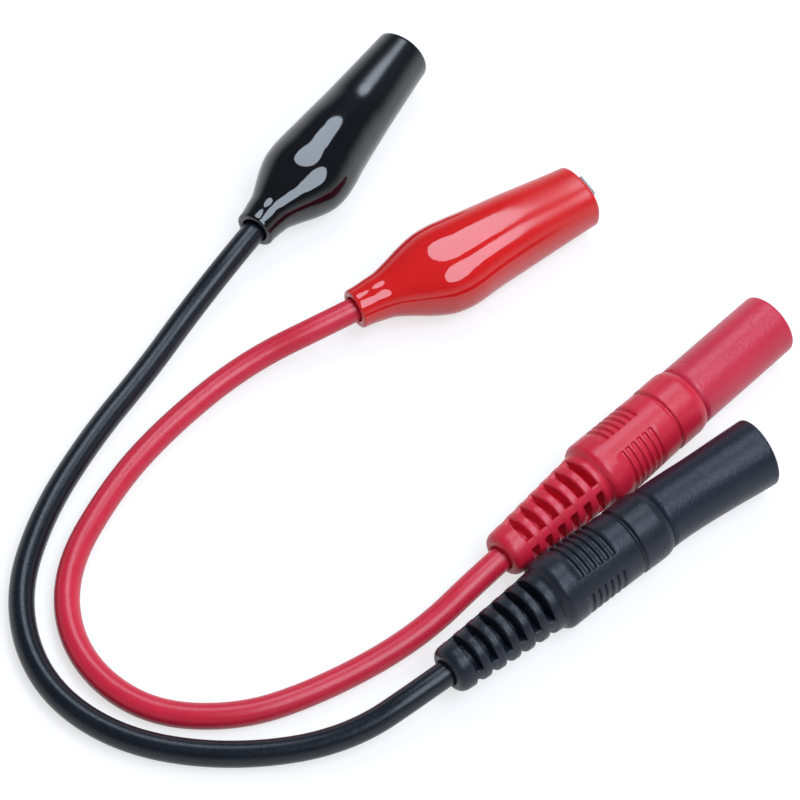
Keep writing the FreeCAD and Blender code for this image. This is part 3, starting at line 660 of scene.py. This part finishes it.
def groove_share(x):
    """1 on the floor of a finger groove and 0 on the ribs."""
    at = (x - PAD_START + PAD_GROOVE_LEAD) % PAD_PITCH - PAD_GROOVE_LEAD
    number = int((x - PAD_START + PAD_GROOVE_LEAD) // PAD_PITCH)
    if not 0 <= number < PAD_GROOVES:
        return 0.0
    return smoothstep(*PAD_GROOVE_WALL, min(at, PAD_GROOVE_WIDTH - at))


def grip_radius(x):
    """Outside of the grip without slots, spines and finger grooves."""
    if x < BLOCK_ROUND:
        return RELIEF_REAR - BLOCK_ROUND + math.sqrt(max(0.0, BLOCK_ROUND**2 - (BLOCK_ROUND - x) ** 2))
    if x <= RELIEF_END:
        return relief_radius(x)
    if x < BARREL_START:
        dip = math.sin(math.pi * (x - RELIEF_END) / (BARREL_START - RELIEF_END))
        return RELIEF_FRONT - RELIEF_DIP * dip
    if x <= BARREL_END:
        surface = BARREL_RADIUS - BARREL_TAPER * (x - BARREL_START) / (BARREL_END - BARREL_START)
        short = max(0.0, SHOULDER_ROUND - (x - BARREL_START))
        edge = max(0.0, EDGE_BREAK - (BARREL_END - x))
        drop = SHOULDER_ROUND - math.sqrt(SHOULDER_ROUND**2 - short**2)
        return surface - min(drop, surface - RELIEF_FRONT) - edge
    if x < COLLAR_START:
        return COLLAR_RADIUS - GROOVE_DROP
    edge = max(0.0, EDGE_BREAK - (x - COLLAR_START))
    nose = max(0.0, x - (COLLAR_END - COLLAR_NOSE)) / COLLAR_NOSE
    return COLLAR_RADIUS - edge - COLLAR_NOSE_DROP * nose**NOSE_POWER


def groove_stations(start, width, steps):
    """Places at both walls and the middle of a groove."""
    middle = [start + width / 2]
    return [start + step for step in steps] + middle + [start + width - step for step in steps]


def grip_stations(slot_shift):
    """Places along the grip, close together where its skin steps or turns."""
    stations = list(BLOCK_STEPS)
    for number in range(SLOT_COUNT):
        start = FIRST_SLOT + slot_shift + number * SLOT_PITCH
        stations += groove_stations(start, SLOT_WIDTH, SLOT_STEPS)
        stations.append(start + (SLOT_WIDTH + SLOT_PITCH) / 2)
    for number in range(PAD_GROOVES):
        start = PAD_START + number * PAD_PITCH
        stations += groove_stations(start, PAD_GROOVE_WIDTH, PAD_GROOVE_STEPS)
    stations += [RELIEF_END + step for step in RELIEF_END_STEPS]
    stations += [BARREL_START + step for step in SHOULDER_STEPS]
    stations += [BARREL_END + step for step in BARREL_END_STEPS]
    stations += [COLLAR_START + step for step in COLLAR_START_STEPS]
    stations += [COLLAR_END + step for step in NOSE_STEPS]
    return sorted(set(round(x, 4) for x in stations))


def strips_of(lead):
    """Angles of the smooth strips between the finger grooves."""
    return [lead["strip_angle"] + 360 * number / STRIP_COUNT for number in range(STRIP_COUNT)]


def grip_angles(lead):
    """Places round the grip, close together at the spines' and the strips' edges."""
    half_spine = math.degrees(SPINE_WIDTH / 2 / SPINE_AT_RADIUS)
    angles = [number * 360 / GRIP_SIDES for number in range(GRIP_SIDES)]
    for middles, half in ((lead["spines"], half_spine), (strips_of(lead), HALF_STRIP)):
        for middle in middles:
            for step in EDGE_ANGLES:
                angles.append((middle + half + step) % 360)
                angles.append((middle - half - step) % 360)
    return sorted(set(round(angle, 3) for angle in angles))


def from_nearest(angle, places):
    """Degrees to the nearest of some places round the grip."""
    return min(abs((angle - place + 180) % 360 - 180) for place in places)


def grip(name, lead):
    """Soft overmould: slotted strain relief, barrel with finger grooves, and collar."""
    strips = strips_of(lead)
    angles = grip_angles(lead)
    rings = []
    for x in grip_stations(lead["slot_shift"]):
        bow = bow_at(lead, x)
        whole = grip_radius(x)
        slot = slot_depth(x - lead["slot_shift"], whole) if x < RELIEF_END else 0.0
        groove = PAD_GROOVE_DEPTH * groove_share(x)
        half_spine = math.degrees(math.asin(SPINE_WIDTH / 2 / max(whole, RELIEF_REAR)))
        ring = []
        for angle in angles:
            radius = whole
            if slot:
                away = from_nearest(angle, lead["spines"]) - half_spine
                off_spine = smoothstep(-SPINE_EDGE, SPINE_EDGE, away)
                radius -= min(slot, SPINE_DROP) * (1 - off_spine) + slot * off_spine
            if groove:
                away = from_nearest(angle, strips) - HALF_STRIP
                radius -= groove * smoothstep(-STRIP_EDGE, STRIP_EDGE, away)
            ring.append(axis_point(x, radius, angle, bow))
        rings.append(ring)
    inside = [(COLLAR_END, SLEEVE_BORE), (SHROUD_START, SLEEVE_BORE), (SHROUD_START, FLANGE_BORE)]
    inside += [(FLANGE_START, FLANGE_BORE), (FLANGE_START, CUP_BORE), (CUP_START, CUP_BORE)]
    inside += [(CUP_START, CORE_BORE), (CABLE_IN_PLUG, CORE_BORE), (CABLE_IN_PLUG, CABLE_BORE)]
    inside.append((0.0, CABLE_BORE))
    for x, radius in inside:
        rings.append([axis_point(x, radius, angle, bow_at(lead, x)) for angle in angles])
    place = place_of(lead["plug"], PLUG_HEIGHT, lead["plug_heading"])
    piece = ring_mesh(name + "_grip_skin", rings, place)
    finish_piece(piece, name + "_grip")
    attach(piece, name + "_lead")
    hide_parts(name + "_plug_grip")


# Plug sleeves


def sleeve(name, lead):
    """Sleeve round the contact, with a rounded rim and a closed base."""
    outline = [(SHROUD_START, CONTACT_HOLE), (SHROUD_START, SHROUD_ROOT)]
    outline += [(COLLAR_END, SHROUD_ROOT), (COLLAR_END, SHROUD_RADIUS)]
    outline += [(COLLAR_END + number, SHROUD_RADIUS) for number in range(1, SLEEVE_STEPS + 1)]
    for turn in range(SLEEVE_RIM_STEPS + 1):
        angle = math.pi / 2 * turn / SLEEVE_RIM_STEPS
        x = PLUG_END - RIM_ROUND * (1 - math.sin(angle))
        outline.append((x, SHROUD_RADIUS - RIM_ROUND * (1 - math.cos(angle))))
    for turn in range(SLEEVE_RIM_STEPS + 1):
        angle = math.pi / 2 * turn / SLEEVE_RIM_STEPS
        x = PLUG_END - RIM_ROUND * (1 - math.cos(angle))
        outline.append((x, SHROUD_INNER + RIM_ROUND * (1 - math.sin(angle))))
    outline += [(SHROUD_FLOOR, SHROUD_INNER), (SHROUD_FLOOR, CONTACT_HOLE)]
    rings = []
    for x, radius in outline:
        mouth = smoothstep(MOUTH_FROM, MOUTH_TO, x)
        wide = radius + lead["mouth_flare"] * mouth
        bow = bow_at(lead, x)
        ring = []
        for number in range(SLEEVE_SIDES):
            point = axis_point(x, wide, 360 * number / SLEEVE_SIDES, bow)
            stretch = lead["mouth_reach"] + lead["mouth_slant"] * point[1]
            ring.append((x + stretch * mouth, point[1], point[2]))
        rings.append(ring)
    place = place_of(lead["plug"], PLUG_HEIGHT, lead["plug_heading"])
    piece = ring_mesh(name + "_sleeve_skin", rings, place)
    finish_piece(piece, name + "_shroud")
    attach(piece, name + "_lead")
    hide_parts(name + "_plug_shroud")


# Materials of the metal pieces that stay as they are
METAL_NODES = {
    "core": "copper",
    "fixed_jaw": "steel",
    "moving_jaw": "steel",
    "jaw_pin": "steel",
    "plug_contact": "brass",
    "contact_spring": "spring_brass",
}

# All pieces of both leads
for name, lead in LEADS.items():
    cable(name, lead)
    boot(name, lead)
    jaw_spring(name, lead)
    grip(name, lead)
    sleeve(name, lead)
    for node, slot in METAL_NODES.items():
        node_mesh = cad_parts[name + "_" + node].data
        node_mesh.materials.clear()
        node_mesh.materials.append(MATERIALS[slot])


# Floor, light and camera. The glow is what the floor shows to the camera, on top of the light on it.
FLOOR_HALF = 3
FLOOR_SHADE = 0.42
FLOOR_GLOW = 0.68
WALL_TOP = 0.12
CEILING_START = 0.5
WALL_LIGHT = 0.95
CEILING_LIGHT = 0.1
ROOM_TINT = (0.94, 0.97, 1.0)
LAMP_TINT = (0.75, 0.86, 1.0)
CAMERA_AT = (-14.2, -212.96, 307.10)
CAMERA_TARGET = (-14.2, -6.9, 1.6)
CAMERA_LENS = 131.1


def studio_floor():
    """White table that keeps a faint shadow."""
    mesh = bpy.data.meshes.new("floor")
    corners = [(x * FLOOR_HALF, y * FLOOR_HALF, 0) for x, y in ((-1, -1), (1, -1), (1, 1), (-1, 1))]
    mesh.from_pydata(corners, [], [(0, 1, 2, 3)])
    floor = bpy.data.objects.new("floor", mesh)
    scene.collection.objects.link(floor)
    material, shader = new_material("floor_white", (FLOOR_SHADE,) * 3, 0.9)
    shader.inputs["Specular IOR Level"].default_value = 0.0
    tree = material.node_tree
    path = tree.nodes.new("ShaderNodeLightPath")
    seen = path.outputs["Is Camera Ray"]
    for ray in ("Is Glossy Ray", "Is Transmission Ray"):
        either = tree.nodes.new("ShaderNodeMath")
        either.operation = "MAXIMUM"
        tree.links.new(seen, either.inputs[0])
        tree.links.new(path.outputs[ray], either.inputs[1])
        seen = either.outputs[0]
    glow = tree.nodes.new("ShaderNodeMath")
    glow.operation = "MULTIPLY"
    glow.inputs[1].default_value = FLOOR_GLOW
    tree.links.new(seen, glow.inputs[0])
    shader.inputs["Emission Color"].default_value = (1.0, 1.0, 1.0, 1.0)
    tree.links.new(glow.outputs[0], shader.inputs["Emission Strength"])
    mesh.materials.append(material)


def studio_world():
    """Room with pale walls and a darker ceiling."""
    world = bpy.data.worlds.new("studio")
    scene.world = world
    world.use_nodes = True
    tree = world.node_tree
    backdrop = tree.nodes["Background"]
    way = tree.nodes.new("ShaderNodeTexCoord")
    split = tree.nodes.new("ShaderNodeSeparateXYZ")
    fall = tree.nodes.new("ShaderNodeMapRange")
    fall.inputs["From Min"].default_value = WALL_TOP
    fall.inputs["From Max"].default_value = CEILING_START
    fall.inputs["To Min"].default_value = WALL_LIGHT
    fall.inputs["To Max"].default_value = CEILING_LIGHT
    tree.links.new(way.outputs["Generated"], split.inputs["Vector"])
    tree.links.new(split.outputs["Z"], fall.inputs["Value"])
    tree.links.new(fall.outputs["Result"], backdrop.inputs["Strength"])
    backdrop.inputs["Color"].default_value = (*ROOM_TINT, 1.0)


def softbox(name, place, width, depth, power):
    """Round soft lamp that looks straight down."""
    lamp = bpy.data.lights.new(name, "AREA")
    lamp.shape = "ELLIPSE"
    lamp.size = width
    lamp.size_y = depth
    lamp.energy = power
    lamp.color = LAMP_TINT
    box = bpy.data.objects.new(name, lamp)
    scene.collection.objects.link(box)
    box.location = place


studio_floor()
studio_world()
softbox("softbox_rear", (0.02, 0.29, 0.50), width=0.30, depth=0.34, power=1.45)
softbox("softbox_front", (0.24, -0.15, 0.50), width=0.38, depth=0.54, power=3.0)

camera_data = bpy.data.cameras.new("camera")
camera_data.lens = CAMERA_LENS
camera_data.sensor_width = 36.0
camera_data.clip_start = 0.01
camera = bpy.data.objects.new("camera", camera_data)
scene.collection.objects.link(camera)
target = Vector(CAMERA_TARGET) * MM
camera.location = Vector(CAMERA_AT) * MM
camera.rotation_euler = (target - camera.location).to_track_quat("-Z", "Y").to_euler()
scene.camera = camera
scene.view_settings.view_transform = "Standard"
